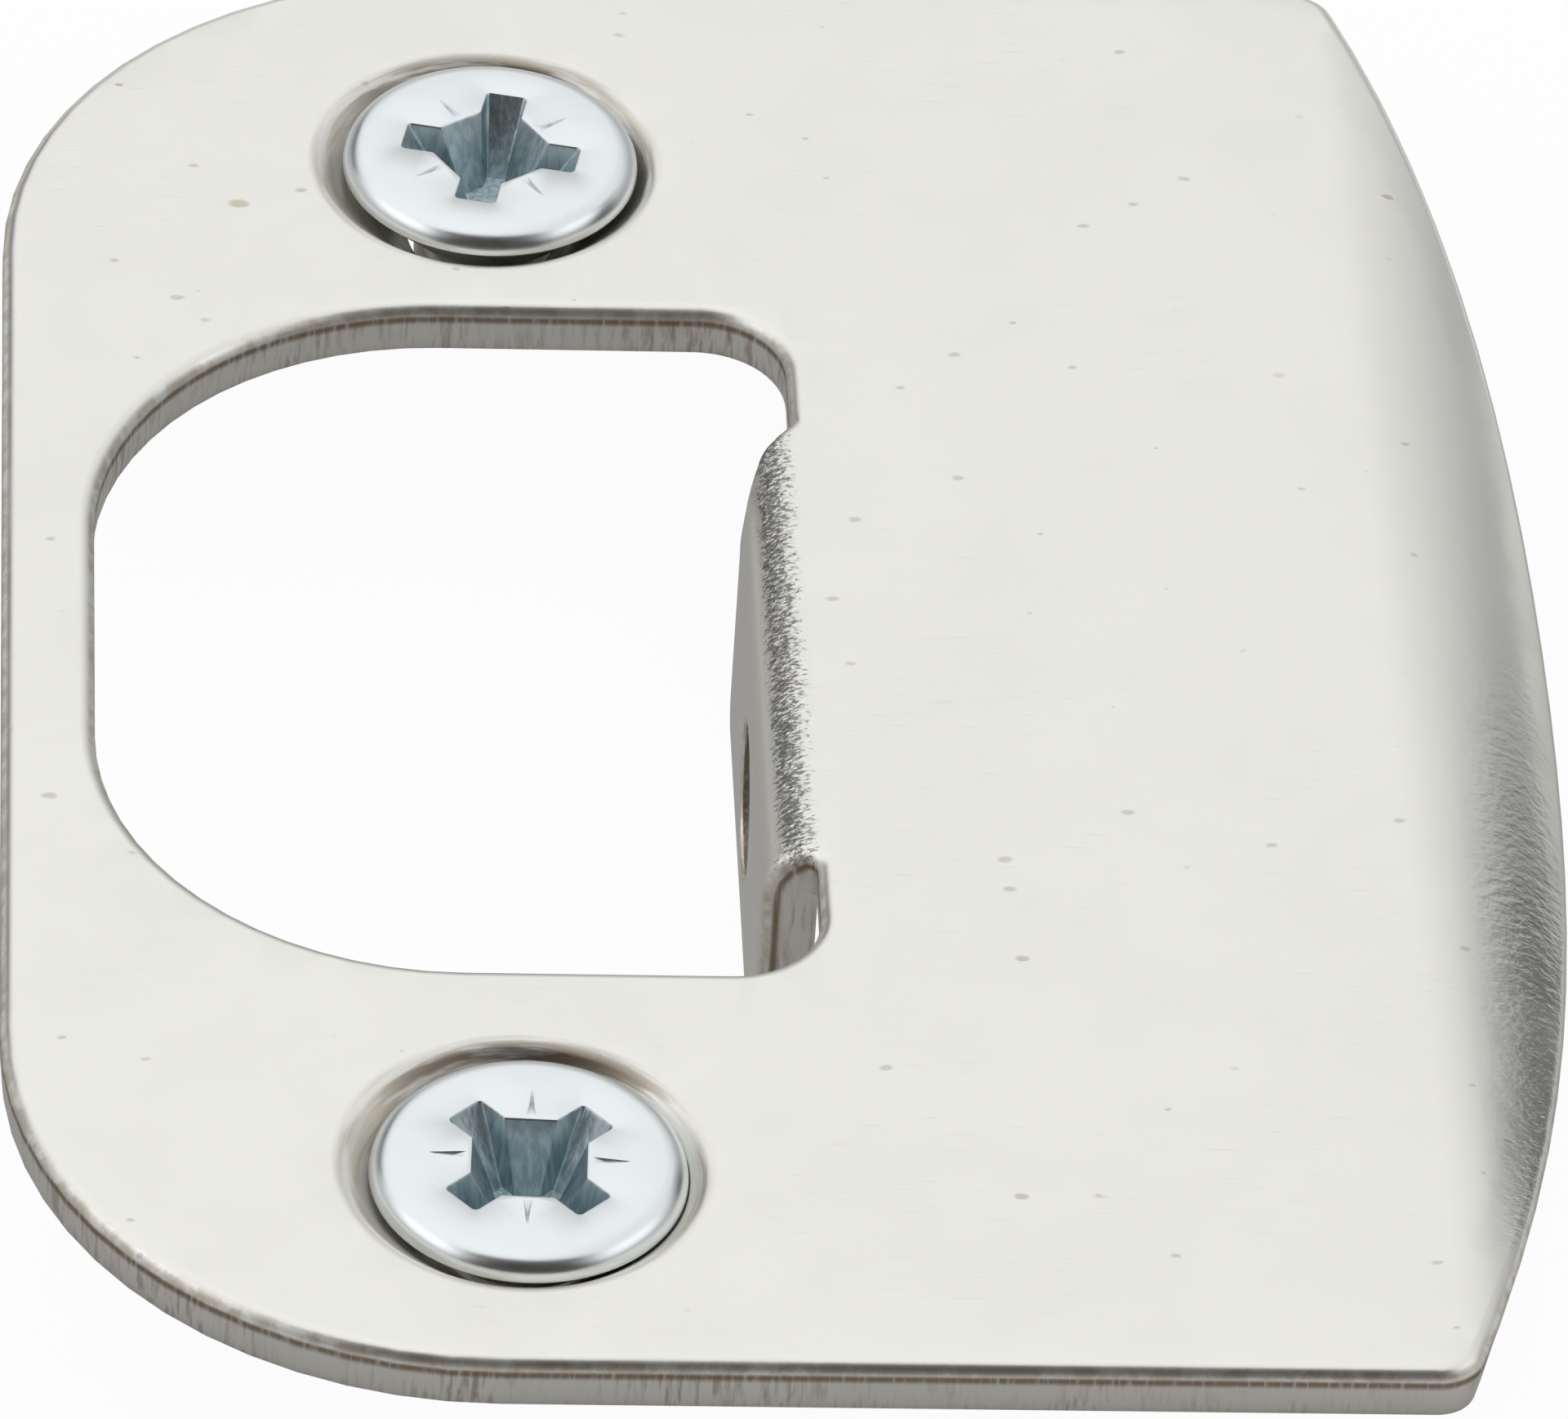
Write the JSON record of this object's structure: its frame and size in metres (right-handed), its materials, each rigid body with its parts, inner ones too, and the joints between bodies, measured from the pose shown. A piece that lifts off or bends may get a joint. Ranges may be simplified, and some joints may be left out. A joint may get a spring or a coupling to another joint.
{
  "type": "door strike plate",
  "caption": "Pressed steel door strike plate with round corners, a latch opening with a bent tab, a rolled lip and countersunk screws in dimples.",
  "frame": {"origin": "at the plate's mid-height, on the line of the two screws and on the plane of the plate's back face", "axes": "+X from the round-cornered edge to the lip, +Y along the jamb, +Z out of the jamb, towards the door's edge"},
  "size_m": [0.0411, 0.0572, 0.0082],
  "materials": {
    "nickel_plated_steel": "satin nickel plating over cold-rolled sheet, with darker rolled edges",
    "zinc_plated_steel": "bright blue-white zinc plating"
  },
  "bodies": {
    "root": {"strike_plate": "nickel_plated_steel", "fixing_screws": "zinc_plated_steel"}
  },
  "joints": []
}
